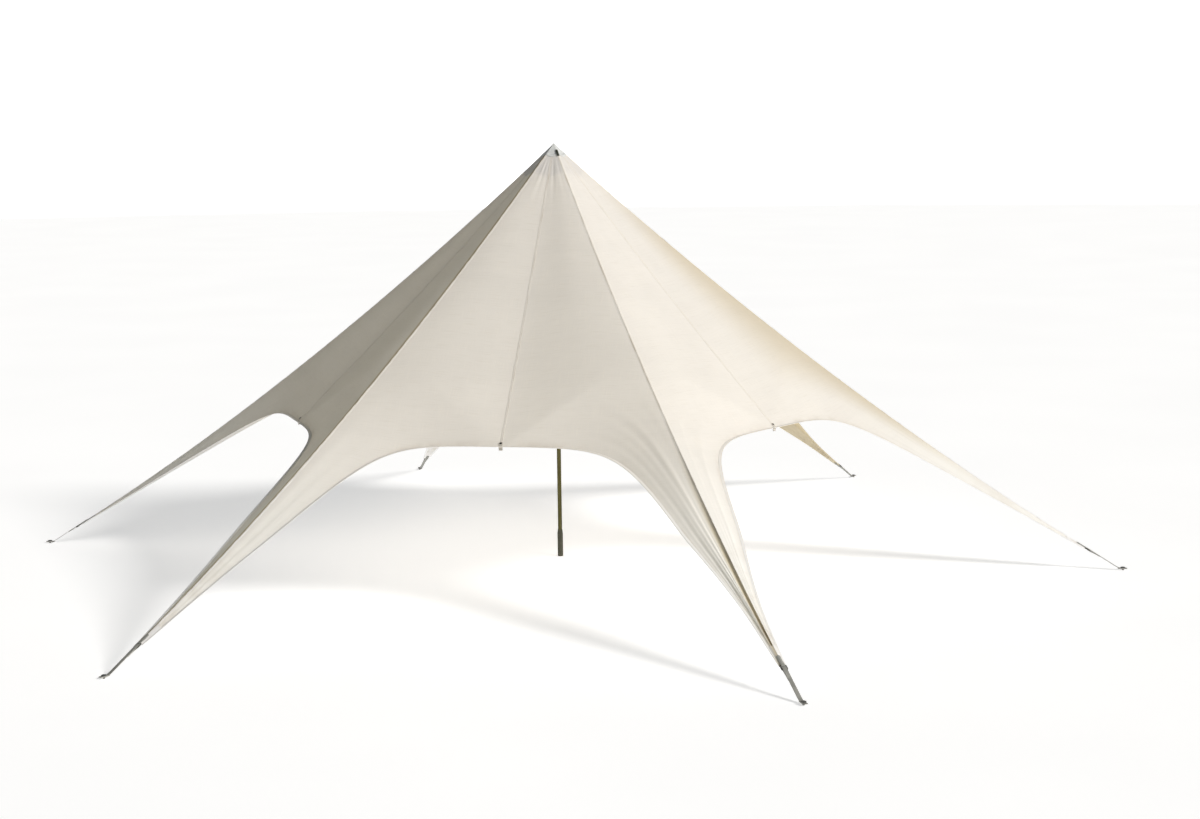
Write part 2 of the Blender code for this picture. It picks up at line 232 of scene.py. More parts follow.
def canvas(name, tint, translucency, stitched=()):
    """Woven canvas; stitched gives the distances of its stitch lines from a strip's middle."""
    material, tree, shader, cloth, space = new_material(name, tint)
    along, across, _ = node(tree, "SeparateXYZ", Vector=cloth).outputs
    mottle = noise(tree, space, 1.3, 4)
    weft = noise(tree, cloth, 60, 3, (0.12, 4, 1))
    warp = noise(tree, cloth, 60, 3, (4, 0.12, 1))
    bands = noise(tree, cloth, 9, 4, (0.03, 1, 1))
    tone = blend(tree, ramp(tree, mottle, 0.3, 0.7), times(tint, 0.955), tint)
    tone = blend(tree, ramp(tree, bands, 0.35, 0.65, 0, 0.5), tone, BANDED, "MULTIPLY")
    tone = blend(tree, ramp(tree, weft, 0.5, 0.72, 0, 0.35), tone, DARK_WEFT, "MULTIPLY")
    tone = blend(tree, ramp(tree, warp, 0.5, 0.72, 0, 0.35), tone, LIGHT_WARP, "MULTIPLY")
    level = node(tree, "VectorMath", operation="MULTIPLY", Vector=space)
    level.inputs[1].default_value = (1, 1, 0)
    radius = node(tree, "VectorMath", operation="LENGTH", Vector=level.outputs[0]).outputs["Value"]
    # Painted light: the canvas is made lighter towards the leg ends
    tone = blend(tree, ramp(tree, radius, 1.9, 3.2, 0, 0.85), tone, PAINTED_LEG_LIGHT)
    # Painted warm shade, from a per-point attribute
    warmth = node(tree, "Attribute", attribute_name="warmth").outputs["Fac"]
    tone = blend(tree, warmth, tone, PAINTED_SHADE_TINT, "MULTIPLY")
    # Grime near the leg ends and hems, and painted shade along some seams, from a per-point
    # attribute
    wear = node(tree, "Attribute", attribute_name="wear").outputs["Fac"]
    dirt_and_shade_mask = sums(tree, "MULTIPLY", wear, ramp(tree, noise(tree, space, 7, 5), 0.35, 0.75))
    tone = blend(tree, dirt_and_shade_mask, tone, DIRT_AND_SHADE_TINT, "MULTIPLY")
    weave = sums(tree, "MULTIPLY", wave(tree, along, WEAVE_PITCH), wave(tree, across, WEAVE_PITCH))
    height = sums(tree, "ADD", sums(tree, "MULTIPLY", weave, 0.35), sums(tree, "ADD", weft, warp))
    for place in stitched:
        away = sums(tree, "SUBTRACT", sums(tree, "ABSOLUTE", across), place)
        away = sums(tree, "ABSOLUTE", away)
        line = ramp(tree, away, STITCH_HALF_WIDTH, 2 * STITCH_HALF_WIDTH, 1, 0)
        gaps = ramp(tree, wave(tree, along, STITCH_PITCH), -0.75, -0.35)
        line = sums(tree, "MULTIPLY", line, gaps)
        tone = blend(tree, sums(tree, "MULTIPLY", line, 0.55), tone, THREAD)
        height = sums(tree, "ADD", height, sums(tree, "MULTIPLY", line, 2.0))
        # Groove beside a stitch line: a real bump, and painted shade darkening its colour
        groove = ramp(tree, away, 0, PUCKER_WIDTH, 1, 0)
        tone = blend(tree, sums(tree, "MULTIPLY", groove, 0.15), tone, GROOVE_SHADE, "MULTIPLY")
        height = sums(tree, "SUBTRACT", height, groove)
    uneven = ramp(tree, mottle, 0.3, 0.7, 0.82, 0.92)
    bump = surface(tree, shader, tone, uneven, height, 0.35, 0.0004)
    shader.inputs["Specular IOR Level"].default_value = 0.25
    glow = blend(tree, 1.0, tone, LIGHT_THROUGH, "MULTIPLY")
    through = node(tree, "BsdfTranslucent", Color=glow, Normal=bump)
    mixed = node(tree, "MixShader", Fac=translucency)
    feed(tree, mixed.inputs[1], shader.outputs[0])
    feed(tree, mixed.inputs[2], through.outputs[0])
    feed(tree, tree.nodes["Material Output"].inputs["Surface"], mixed.outputs[0])
    return material


def webbing(name, tint):
    """Heavy ribbed strap: ribs run along it, and a fine chevron across."""
    material, tree, shader, cloth, space = new_material(name, tint)
    along, across, _ = node(tree, "SeparateXYZ", Vector=cloth).outputs
    rib = wave(tree, across, RIB_PITCH)
    lean = sums(tree, "MULTIPLY", sums(tree, "ABSOLUTE", rib), CHEVRON_LEAN)
    chevron = wave(tree, sums(tree, "ADD", along, lean), CHEVRON_PITCH)
    fade = noise(tree, space, 18, 5)
    tone = blend(tree, ramp(tree, fade, 0.3, 0.7), times(tint, 0.78), times(tint, 1.12))
    tone = blend(tree, ramp(tree, chevron, -1, 1, 0, 0.45), tone, WEBBING_SHADE, "MULTIPLY")
    edge = ramp(tree, sums(tree, "ABSOLUTE", across), 0.4 * STRAP_WIDTH, 0.5 * STRAP_WIDTH, 0, 0.4)
    tone = blend(tree, edge, tone, WEBBING_EDGE)
    height = sums(tree, "ADD", sums(tree, "MULTIPLY", rib, 0.5),
                  sums(tree, "MULTIPLY", chevron, 0.5))
    surface(tree, shader, tone, ramp(tree, fade, 0.3, 0.7, 0.68, 0.88), height, 0.6, 0.0004)
    return material


def painted_metal(name, paint, bare, roughness, metallic, worn=0.64, scale=30, shine=0.5,
                  dusty=0.25):
    """Coated steel with brushed streaks, scuffs down to the metal, and dust."""
    material, tree, shader, _, space = new_material(name, paint)
    streaks = noise(tree, space, scale * 6, 4, (1, 1, 0.05))
    scuffs = noise(tree, space, scale, 7)
    dust = noise(tree, space, scale / 6, 4)
    chipped = ramp(tree, scuffs, worn, worn + 0.05)
    tone = blend(tree, ramp(tree, streaks, 0.35, 0.65), times(paint, 0.85), times(paint, 1.15))
    tone = blend(tree, ramp(tree, dust, 0.45, 0.75, 0, dusty), tone, METAL_DUST)
    tone = blend(tree, chipped, tone, bare)
    height = sums(tree, "SUBTRACT", streaks, sums(tree, "MULTIPLY", chipped, 1.5))
    uneven = ramp(tree, sums(tree, "ADD", scuffs, dust), 0.7, 1.3, roughness - 0.08,
                  roughness + 0.14)
    surface(tree, shader, tone, uneven, height, 0.25, 0.0003)
    feed(tree, shader.inputs["Metallic"], ramp(tree, chipped, 0, 1, metallic, 1.0))
    shader.inputs["Specular IOR Level"].default_value = shine
    return material


def moulded(name, tint, roughness):
    """Moulded rubber or plastic with a fine grain, scratches and dust."""
    material, tree, shader, _, space = new_material(name, tint)
    grain = noise(tree, space, 900, 2)
    scratches = noise(tree, space, 60, 6, (1, 1, 0.15))
    dust = noise(tree, space, 9, 5)
    tone = blend(tree, ramp(tree, dust, 0.4, 0.8, 0, 0.4), tint, MOULDED_DUST)
    tone = blend(tree, ramp(tree, scratches, 0.62, 0.7, 0, 0.5), tone, times(tint, 2.2, 0.03))
    uneven = ramp(tree, dust, 0.3, 0.8, roughness - 0.05, roughness + 0.15)
    surface(tree, shader, tone, uneven, sums(tree, "ADD", grain, scratches), 0.3, 0.0003)
    return material


def studio_material(name, glow):
    """Pale matt paint that glows a little, as a lit backdrop does."""
    material, tree, shader, _, space = new_material(name, STUDIO_PAINT)
    mottle = ramp(tree, noise(tree, space, 0.4, 3), 0.3, 0.7)
    tone = blend(tree, mottle, times(STUDIO_PAINT, 0.96), STUDIO_PAINT)
    feed(tree, shader.inputs["Base Color"], tone)
    shader.inputs["Roughness"].default_value = 0.95
    shader.inputs["Specular IOR Level"].default_value = 0.0
    shader.inputs["Emission Color"].default_value = (1, 1, 1, 1)
    shader.inputs["Emission Strength"].default_value = glow
    return material


def make_studio():
    """Pale floor, and a white backdrop all round that the camera sees but that lights nothing."""
    count = STUDIO_SIDES
    turn = np.linspace(0, 2 * pi, count + 1)[:-1]
    rim = [(STUDIO_RADIUS * cos(a), STUDIO_RADIUS * sin(a)) for a in turn]
    room = [(x, y, z) for z in (-1, STUDIO_RADIUS) for x, y in rim] + [(0, 0, STUDIO_RADIUS)]
    beside = [(i, (i + 1) % count) for i in range(count)]
    walls = [(a, b, b + count, a + count) for a, b in beside]
    lid = [(a + count, b + count, 2 * count) for a, b in beside]
    for name, points, faces, glow in (
            ("studio_floor", [(x, y, 0) for x, y in rim], [range(count)], FLOOR_GLOW),
            ("studio_backdrop", room, walls + lid, BACKDROP_GLOW)):
        mesh = bpy.data.meshes.new(name)
        mesh.from_pydata(points, [], faces)
        mesh.materials.append(studio_material(name, glow))
        item = bpy.data.objects.new(name, mesh)
        bpy.context.scene.collection.objects.link(item)
    item.visible_diffuse = item.visible_glossy = False
    item.visible_transmission = item.visible_shadow = False


# Shape of the cloth. A half leg is the cloth between a leg's ridge seam and the next valley seam;
# x runs out along the ridge, and y from the ridge towards that valley, on either side of the leg.
# The side is 1 towards the leg after it, and -1 towards the leg before it.

def leg_azimuth(leg):
    return (leg - 1) * BAY_ANGLE


def ridge_height(x):
    t = x / STAKE_RADIUS
    return (1 - t) * (APEX_HEIGHT - 4 * RIDGE_SAG * t)


def valley_height(radius):
    t = radius / ARCH_RADIUS
    return APEX_HEIGHT + (ARCH_HEIGHT - APEX_HEIGHT) * t - 4 * VALLEY_SAG * t * (1 - t)


def hem_points(u):
    """Points of an arch hem: 0 is where a leg's two hems would meet, 1 the middle of the arch."""
    start = np.array((HEM_END_RADIUS, 0, ridge_height(HEM_END_RADIUS) - HEM_END_DROP))
    start_handle = start + HEM_TIP_REACH * np.array(
        (-cos(HEM_TIP_ANGLE), sin(HEM_TIP_ANGLE), HEM_TIP_RISE))
    end = np.array((ARCH_RADIUS * cos(HALF_BAY), ARCH_RADIUS * sin(HALF_BAY), ARCH_HEIGHT))
    end_handle = end + HEM_ARCH_REACH * np.array((sin(HALF_BAY), -cos(HALF_BAY), 0))
    u = np.asarray(u, float)[:, None]
    v = 1 - u
    return v ** 3 * start + 3 * v * v * u * start_handle + 3 * v * u * u * end_handle + u ** 3 * end


HEM = hem_points(np.linspace(1, 0, HEM_STEPS))
HEM_START = float(np.interp(-TIP_RADIUS, -HEM[::-1, 0], np.linspace(0, 1, HEM_STEPS)))


def edge_at(x):
    """Distance from the ridge, and height, of the valley or hem that ends a half leg at x."""
    on_valley = x < HEM[0, 0]
    y = np.where(on_valley, x * tan(HALF_BAY), np.interp(x, HEM[:, 0], HEM[:, 1]))
    z = np.where(on_valley, valley_height(x / cos(HALF_BAY)), np.interp(x, HEM[:, 0], HEM[:, 2]))
    return y, z


def soft_step(value, low, high):
    t = np.clip((value - low) / (high - low), 0, 1)
    return t * t * (3 - 2 * t)


def ripple(along, across, length, breadth, seed):
    """Smooth uneven ripple, mostly between -1 and 1, with crests about length long and breadth
    apart."""
    random = np.random.default_rng(seed)
    count = 7
    total = 0
    for _ in range(count):
        a, b = random.uniform(-1, 1), random.uniform(0.6, 1.5)
        total = total + np.sin(2 * pi * (a * along / length + b * across / breadth
                                         + random.uniform()))
    return total / count ** 0.5


# Depths of the wrinkles, and of the half legs that the photograph shows smoother or more creased
PULL_DEPTH, PULL_DEPTHS = 0.0032, {(5, 1): 0.0016}
GATHER_DEPTH = 0.0014
FOLD_DEPTH, FOLD_DEPTHS = 0.0022, {(6, -1): 0.008, (6, 1): 0.004, (5, 1): 0.0008}
CREASED_HALF, CREASE_DEPTH, CREASE_PLACE = (6, -1), 0.012, 0.10
# Share by which the cloth is drawn in at the end of a leg
TIP_GATHER, TIP_GATHERS = 0.2, {2: 0.42, 6: 0.42}


def wrinkles(leg, side, x, y, share):
    """Height of the cloth's wrinkles over its taut shape; none along the seams."""
    seed = 40 + 2 * leg + (side > 0)
    radius = np.hypot(x, y)
    azimuth = np.arctan2(y, x) / HALF_BAY
    # Long pulls from the peak down the bays
    pull = PULL_DEPTHS.get((leg, side), PULL_DEPTH) * ripple(radius, azimuth, 4.0, 0.9, seed)
    pull = pull * soft_step(radius, 0.3, 1.0) * (1 - soft_step(x, 1.6, 2.6))
    # Gathers round the peak
    gathers = GATHER_DEPTH * ripple(radius, azimuth, 0.8, 0.32, seed + 20)
    gathers = gathers * np.exp(-((radius - 0.16) / 0.22) ** 2) * soft_step(radius, 0.10, 0.17)
    # Folds down the legs
    on_leg = soft_step(x, 1.5, 2.4) * (1 - soft_step(x, 3.35, 3.7))
    depth = FOLD_DEPTHS.get((leg, side), FOLD_DEPTH)
    folds = depth * ripple(x, share, 5.0, 0.55, seed + 40) * on_leg
    folds = folds + 0.3 * depth * ripple(x, share, 3.0, 0.2, seed + 60) * on_leg
    # Deep crease beside a ridge
    crease = 0
    if (leg, side) == CREASED_HALF:
        crease = -CREASE_DEPTH * (share / CREASE_PLACE) * np.exp(1 - share / CREASE_PLACE)
        crease = crease * soft_step(x, 1.9, 2.8) * (1 - soft_step(x, 3.55, 3.72))
    return np.sin(pi * share) * (pull + gathers + folds) + crease


def taut_height(x, y):
    """Height of the cloth without wrinkles, and the share of the way from the ridge to the edge."""
    edge_y, edge_z = edge_at(x)
    share = np.clip(y / edge_y, 0, 1)
    bulge = BULGE * edge_y * 6.75 * share * (1 - share) ** 2
    return (1 - share) * ridge_height(x) + share * edge_z + bulge - CLOTH_DROP, share


def cloth_height(leg, side, x, y):
    taut, share = taut_height(x, y)
    return taut + wrinkles(leg, side, x, y, share)


def peak_height(radius, azimuth):
    """Height of the taut cloth near the peak."""
    local = np.abs((azimuth + HALF_BAY) % BAY_ANGLE - HALF_BAY)
    return taut_height(radius * np.cos(local), radius * np.sin(local))[0]


def turn_about_pole(points, azimuth):
    x, y, z = points[..., 0], points[..., 1], points[..., 2]
    return np.stack([x * cos(azimuth) - y * sin(azimuth),
                     x * sin(azimuth) + y * cos(azimuth), z], axis=-1)


def place_half(leg, side, x, y, z):
    """Points of a half leg, gathered towards the leg's end and put in their place in the tent."""
    gather = TIP_GATHERS.get(leg, TIP_GATHER) * soft_step(x, 2.7, 3.5)
    return turn_about_pole(np.stack([x, side * y * (1 - gather), z], axis=-1), leg_azimuth(leg))


class Sewing:
    """Grids of points with their cloth coordinates, joined into one mesh. Two numbers of each point
    go to the canvas: how much grime and painted shade it gets, and how much painted warm shade."""

    def __init__(self):
        self.points, self.faces, self.cloth = [], [], []
        self.wear, self.warmth, self.count = [], [], 0

    def add(self, grid, cloth, wear=None, flip=False, warmth=None):
        rows, columns = grid.shape[:2]
        index = np.arange(rows * columns).reshape(rows, columns)
        quads = np.stack([index[:-1, :-1], index[1:, :-1], index[1:, 1:], index[:-1, 1:]], axis=-1)
        quads = quads.reshape(-1, 4)
        quads = quads[:, ::-1] if flip else quads
        none = np.zeros(rows * columns)
        self.points.append(grid.reshape(-1, 3))
        self.wear.append(none if wear is None else wear.reshape(-1))
        self.warmth.append(none if warmth is None else warmth.reshape(-1))
        self.cloth.append(cloth.reshape(-1, 2)[quads].reshape(-1, 2))
        self.faces.append(quads + self.count)
        self.count += rows * columns

    def finish(self, name, material, weld=0.0001):
        faces = np.concatenate(self.faces)
        mesh = bpy.data.meshes.new(name)
        mesh.from_pydata(np.concatenate(self.points).tolist(), [], faces.tolist())
        cloth = mesh.uv_layers.new(name="cloth")
        cloth.data.foreach_set("uv", np.concatenate(self.cloth).ravel())
        for word, values in (("wear", self.wear), ("warmth", self.warmth)):
            attribute = mesh.attributes.new(word, "FLOAT", "POINT")
            attribute.data.foreach_set("value", np.concatenate(values))
        mesh.polygons.foreach_set("use_smooth", np.ones(len(faces), bool))
        mesh.materials.append(material)
        piece = bpy.data.objects.new(name, mesh)
        bpy.context.scene.collection.objects.link(piece)
        piece.modifiers.new("join", "WELD").merge_threshold = weld
        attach(piece, "root")
        return piece


def bay_cloth(x, y):
    """Cloth coordinates of a point: across its bay, and down the bay's slope."""
    slope = hypot(ARCH_RADIUS, APEX_HEIGHT - ARCH_HEIGHT) / ARCH_RADIUS
    along = x * cos(HALF_BAY) + y * sin(HALF_BAY)
    across = x * sin(HALF_BAY) - y * cos(HALF_BAY)
    return np.stack([across, along * slope], axis=-1)


def painted_shade_at(leg, side, x, share):
    """How much painted warm shade the cloth gets: most on leg 2, where it stands for the shaded
    side lit through the cloth, less beside the ridge of leg 1, and in a thin line beside the ridges
    in front, on the sides that are turned from the sun."""
    beside = 1 - soft_step(share * edge_at(x)[0], 0.008, 0.042)
    if leg == 2:
        return soft_step(x, 1.7, 2.4) * (0.8 if side < 0 else 0.7) + 0 * share
    if (leg, side) == (1, -1):
        return (0.5 * (1 - soft_step(share, 0, 0.65)) * soft_step(x, 0.1, 1.0)
                * (1 - soft_step(x, 2.2, 3.2)))
    if (leg, side) == (5, -1):
        return 0.8 * beside
    if (leg, side) == (6, -1):
        return 0.7 * beside * soft_step(x, 2.0, 3.2)
    return 0 * beside


def make_canopy():
    """The whole cloth, as one sheet."""
    sewing = Sewing()
    start = NECK_RADIUS * cos(HALF_BAY)
    rows = start + (TIP_RADIUS - start) * np.linspace(0, 1, CLOTH_ROWS + 1) ** 1.1
    rows[np.argmin(np.abs(rows - HEM[0, 0]))] = HEM[0, 0]      # a row in the middle of the arches
    across = np.linspace(0, 1, CLOTH_COLUMNS + 1)[None, :] ** 1.15
    x = rows[:, None] + 0 * across
    y = edge_at(x)[0] * across
    worn = (0.35 * soft_step(x, 2.6, 3.7)
            + 0.25 * soft_step(across, 0.9, 1) * soft_step(x, 1.6, 1.7))
    for leg in range(1, LEG_COUNT + 1):
        for side in (1, -1):
            cloth = bay_cloth(x, y) * (side, 1)
            z = cloth_height(leg, side, x, y)
            sewing.add(place_half(leg, side, x, y, z), cloth + (leg, 0),
                       worn, side < 0, painted_shade_at(leg, side, x, across))
    canopy = sewing.finish("canopy_cloth", canopy_canvas)
    names = [f"canopy_panel_{leg}_{word}"
             for leg in range(1, LEG_COUNT + 1) for word in ("left", "right")]
    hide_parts(*names)
    return canopy


# Seams and hems

# Across half a seam, from its middle: places, lifts, and how much more its middle is raised
SEAM_PLACES = (0, 0.2, 0.45, 0.7, 0.92, 0.97, 1)
SEAM_LIFTS = (1.0, 1.0, 1.0, 1.0, 0.95, 0.85, -0.4)
SEAM_CROWN = (1.1, 0.75, 0.25, 0, 0, 0, 0)
SEAM_LAYERS = (1, -1.1)        # outside and inside
SEAM_RAISE, SEAM_RAISES = 0.15, {("ridge", 5): 1.0, ("ridge", 6): 0.5}
# Painted shade, laid on as grime: a dark line along the shaded half of the ridge seam of leg 6 and
# of the front valley seam
SEAM_PAINTED_SHADE = {("ridge", 6, -1): 0.45, ("valley", 6, -1): 0.4}
# Round a hem, in its upper half: places as shares of its width, places at its fold, and lifts
HEM_PLACES = (1, 0.96, 0.8, 0.5, 0.2)
HEM_FOLD = (0.0005, -0.0012, -0.0016, -0.0012, 0.0005)
HEM_LIFTS = (-0.4, 0.85, 1, 1.05, 1.1, 1.1, 0.75)


def unit(vectors):
    return vectors / np.hypot(*vectors.T)[:, None]


def line_points(end, direction):
    """Points of a straight seam, from near the pole to a distance from it."""
    distance = np.linspace(SEAM_START, end, int((end - SEAM_START) / STRIP_STEP) + 1)[:, None]
    return distance * np.array(direction, float)[None, :]


def add_half_strip(sewing, leg, side, middle, inward, offsets, lifts, pucker, worn=0.0):
    """Lays half a strip on a half leg: middle is its line of (x, y) points, inward the way across,
    and pucker how uneven its lifts are."""
    offsets, lifts = np.asarray(offsets, float), np.asarray(lifts, float)
    x = middle[:, :1] + inward[:, :1] * offsets
    y = middle[:, 1:] + inward[:, 1:] * offsets
    step = np.hypot(*np.diff(middle, axis=0).T)
    along = np.concatenate([[0], np.cumsum(step)])[:, None] + 0 * offsets
    across = offsets + 0 * along
    uneven = pucker * ripple(along, across, 0.05, 0.03, 300 + 2 * leg + (side > 0))
    z = cloth_height(leg, side, x, np.abs(y)) + lifts * (1 + uneven)
    warmth = painted_shade_at(leg, side, x, np.clip(np.abs(y) / edge_at(x)[0], 0, 1))
    sewing.add(place_half(leg, side, x, y, z), np.stack([along, across], axis=-1),
               worn + 0 * x, flip=side < 0, warmth=warmth)


def make_seams():
    """Flat-felled seams along every ridge and every valley, outside and inside."""
    seams = []
    out = (cos(HALF_BAY), sin(HALF_BAY))
    ridge = line_points(TIP_RADIUS - 0.002, (1, 0))
    valley = line_points(ARCH_RADIUS - 0.004, out)
    for number in range(1, LEG_COUNT + 1):
        after = number % LEG_COUNT + 1
        for word, line, across, halves in (
                ("ridge", ridge, (0, 1), ((number, 1), (number, -1))),
                ("valley", valley, (out[1], -out[0]), ((number, 1), (after, -1)))):
            sewing = Sewing()
            inward = np.tile(np.array(across, float), (len(line), 1))
            offsets = [place * SEAM_WIDTHS[word] / 2 for place in SEAM_PLACES]
            raised = SEAM_RAISES.get((word, number), SEAM_RAISE)
            for leg, side in halves:
                # Slight grime on every seam half, and painted shade on the halves listed above
                worn = SEAM_PAINTED_SHADE.get((word, leg, side), STRIP_WEAR)
                for layer in SEAM_LAYERS:
                    lifts = [layer * STRIP_LIFT * (lift + raised * crown)
                             for lift, crown in zip(SEAM_LIFTS, SEAM_CROWN)]
                    add_half_strip(sewing, leg, side, line, inward, offsets, lifts, 0.35, worn)
            seams.append(sewing.finish(f"{word}_seam_{number}", seam_canvas))
    return seams


def make_hems():
    """Folded hem round the edge of the cloth, in one piece for every arch."""
    hems = []
    line = hem_points(np.linspace(HEM_START, 1, int(HALF_HEM_LENGTH / STRIP_STEP)))[:, :2]
    ahead = unit(np.gradient(line, axis=0))
    ahead[-1] = (-sin(HALF_BAY), cos(HALF_BAY))
    inward = np.stack([ahead[:, 1], -ahead[:, 0]], axis=-1)
    upper = [place * HEM_WIDTH for place in HEM_PLACES]
    offsets = [*upper, *HEM_FOLD, *upper[::-1]]
    lifts = [STRIP_LIFT * lift
             for lift in (*HEM_LIFTS, 0, *(-lift for lift in HEM_LIFTS[::-1]))]
    for number in range(1, LEG_COUNT + 1):
        sewing = Sewing()
        for leg, side in ((number, 1), (number % LEG_COUNT + 1, -1)):
            add_half_strip(sewing, leg, side, line, inward, offsets, lifts, 0.2)
        hems.append(sewing.finish(f"arch_hem_{number}", hem_canvas))
    return hems


# Peak

CAP_LOOP_AZIMUTH = radians(-62)
# Of the cap from its point to its rim and back under its hem: radius, and lift in millimetres
CAP_PROFILE = ((0.0015, 6.5), (0.006, 5.5), (0.014, 4.2), (0.03, 3.3), (0.05, 3.1), (0.07, 3.1),
               (CAP_RADIUS - 0.016, 3.1), (CAP_RADIUS - 0.0155, 3.8), (CAP_RADIUS - 0.008, 4.0),
               (CAP_RADIUS - 0.001, 3.9), (CAP_RADIUS, 3.0), (CAP_RADIUS - 0.001, 2.1),
               (CAP_RADIUS - 0.008, 2.0), (CAP_RADIUS - 0.016, 2.1), (CAP_RADIUS - 0.0165, 2.9))
# Of the loop on the cap, out past the rim and back over itself: radius, and lift over the cloth
CAP_LOOP_ROUTE = ((0.052, 0.0052), (0.070, 0.0056), (0.090, 0.0062), (0.101, 0.0075),
                  (0.1035, 0.0090), (0.100, 0.0110), (0.090, 0.0108), (0.074, 0.0086),
                  (0.058, 0.0080))


def polar_grid(radii, heights):
    """Points round the pole, at a height for every radius and azimuth, and their cloth places."""
    azimuth = np.linspace(0, 2 * pi, 97)[None, :]
    radius = np.asarray(radii, float)[:, None]
    z = heights(radius, azimuth)
    grid = np.stack([radius * np.cos(azimuth), radius * np.sin(azimuth), z], axis=-1)
    rim = radius[-1]
    return grid, np.stack([azimuth * rim + 0 * radius, rim - radius + 0 * azimuth], axis=-1)


def make_cap():
    """Cloth cap over the peak, gathered to its point, with a turned hem."""
    radii, lifts = np.array(CAP_PROFILE).T
    lifts = lifts[:, None] / 1000

    def heights(radius, azimuth):
        pleats = 0.0006 * np.sin(12 * azimuth + 2.0 * np.sin(3 * azimuth))
        pleats = pleats * soft_step(radius, 0.01, 0.06)
        return peak_height(radius, azimuth) + lifts + np.maximum(pleats, -0.0004)

    sewing = Sewing()
    sewing.add(*polar_grid(radii, heights))
    cap = sewing.finish("peak_cap", cap_canvas)
    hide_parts("apex_cap")
    return cap


def make_cap_loop():
    """Short dark loop of webbing sewn on the cap, on the side towards the front."""
    route = [(radius, float(peak_height(np.array(radius), np.array(CAP_LOOP_AZIMUTH))) + lift)
             for radius, lift in CAP_LOOP_ROUTE]
    make_ribbon("cap_loop", route, CAP_LOOP_AZIMUTH, 0.016, 0.0018, dark_webbing)


def make_peak_patch():
    """Round doubling sewn under the peak, where the pole's head bears."""
    radii = np.concatenate([[0.056, 0.0565], np.linspace(0.058, 0.215, 14), [0.2165, 0.217]])
    lifts = np.array([-0.8, -2.0] + [-2.4] * 14 + [-1.6, -0.4])[:, None] / 1000
    sewing = Sewing()
    sewing.add(*polar_grid(radii, lambda radius, azimuth: peak_height(radius, azimuth) + lifts),
               flip=True)
    return sewing.finish("peak_patch", patch_canvas)


# Leg ends

TIP_HEIGHT = float(HEM[np.searchsorted(HEM[:, 0], TIP_RADIUS), 2])
STRAP_TILT = atan2(TIP_HEIGHT - STAKE_HEAD_BASE, STAKE_RADIUS - STAKE_CLEARANCE - TIP_RADIUS)
BUCKLE_LOW, BUCKLE_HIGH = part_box("buckle_1")
BUCKLE_X, BUCKLE_Z = (BUCKLE_LOW[0] + BUCKLE_HIGH[0]) / 2, (BUCKLE_LOW[2] + BUCKLE_HIGH[2]) / 2
# Along the boot of a leg's end: places from the pole, and shares of its full lift
BOOT_ROWS = np.concatenate([[3.608, 3.61], np.linspace(3.615, 3.737, 10), [3.7405, 3.7415]])
BOOT_LIFTS = np.concatenate([[0.3, 0.9], np.ones(10), [0.75, 0.1]])
# Across it, from the ridge to the edge: shares of the way, and lifts in millimetres; then round
# the edge: places past it and lifts, in millimetres
BOOT_SHARES = (0, 0.12, 0.3, 0.5, 0.7, 0.88, 1)
BOOT_RISES = (2.9, 2.7, 2.5, 2.5, 2.5, 2.5, 2.4)
BOOT_FOLD, BOOT_FOLD_RISES = (1.6, 2.6, 1.6), (1.4, 0, -1.4)


def at_buckle(along, up):
    """Point (x, z) of a leg's upright plane, along and above the buckle's middle."""
    return (BUCKLE_X + along * cos(STRAP_TILT) + up * sin(STRAP_TILT),
            BUCKLE_Z - along * sin(STRAP_TILT) + up * cos(STRAP_TILT))


def by_ridge(x, lift):
    """Point (x, z) over or under a leg's ridge."""
    return x, float(ridge_height(x)) + lift


def by_valley(radius, lift):
    """Point (radius, z) over or under a valley seam."""
    return radius, float(valley_height(radius)) + lift


def round_route(points):
    """Even points, 2 mm apart, along a route of (x, z) points whose corners are rounded."""
    route = np.array(points, float)
    for _ in range(3):
        first, second = route[:-1], route[1:]
        corners = np.stack([0.75 * first + 0.25 * second, 0.25 * first + 0.75 * second], axis=1)
        route = np.concatenate([route[:1], corners.reshape(-1, 2), route[-1:]])
    length = np.concatenate([[0], np.cumsum(np.hypot(*np.diff(route, axis=0).T))])
    even = np.linspace(0, length[-1], int(length[-1] / 0.002) + 2)
    return np.stack([np.interp(even, length, route[:, i]) for i in (0, 1)], axis=-1), even


def make_ribbon(name, route, azimuth, width, thickness, material, droop=None):
    """Closed flat strap along a route in an upright plane; droop gives how its sides slope down
    at x."""
    route, length = round_route(route)
    ahead = unit(np.gradient(route, axis=0))
    normal = np.stack([-ahead[:, 1], ahead[:, 0]], axis=-1)
    across = np.array([-1, -0.985, -0.95, -0.85, -0.4, 0, 0.4, 0.85, 0.95, 0.985, 1]) * width / 2
    rise = np.array([0, 0.55, 0.9, 1, 1, 1, 1, 1, 0.9, 0.55, 0]) * thickness / 2
    y = np.concatenate([across, across[-2::-1]])
    up = np.concatenate([rise, -rise[-2::-1]])
    ends = np.ones(len(route))
    ends[[0, -1]] = 0.05
    x = route[:, :1] + normal[:, :1] * up * ends[:, None]
    z = route[:, 1:] + normal[:, 1:] * up * ends[:, None]
    if droop is not None:
        z = z - droop(route[:, :1]) * np.abs(y)
    grid = np.stack([x, y + 0 * x, z], axis=-1)
    cloth = np.stack([length[:, None] + 0 * x, y + 0 * x], axis=-1)
    sewing = Sewing()
    sewing.add(turn_about_pole(grid, azimuth), cloth, flip=True)
    return sewing.finish(name, material, weld=0.00005)


def leg_slope(x):
    """Fall of the cloth from a leg's ridge to its hem, per metre across, fading at the buckle."""
    on_leg = np.minimum(x, TIP_RADIUS)
    edge_y, edge_z = edge_at(on_leg)
    return 1.3 * (ridge_height(on_leg) - edge_z) / edge_y * (1 - soft_step(x, 3.715, 3.745))


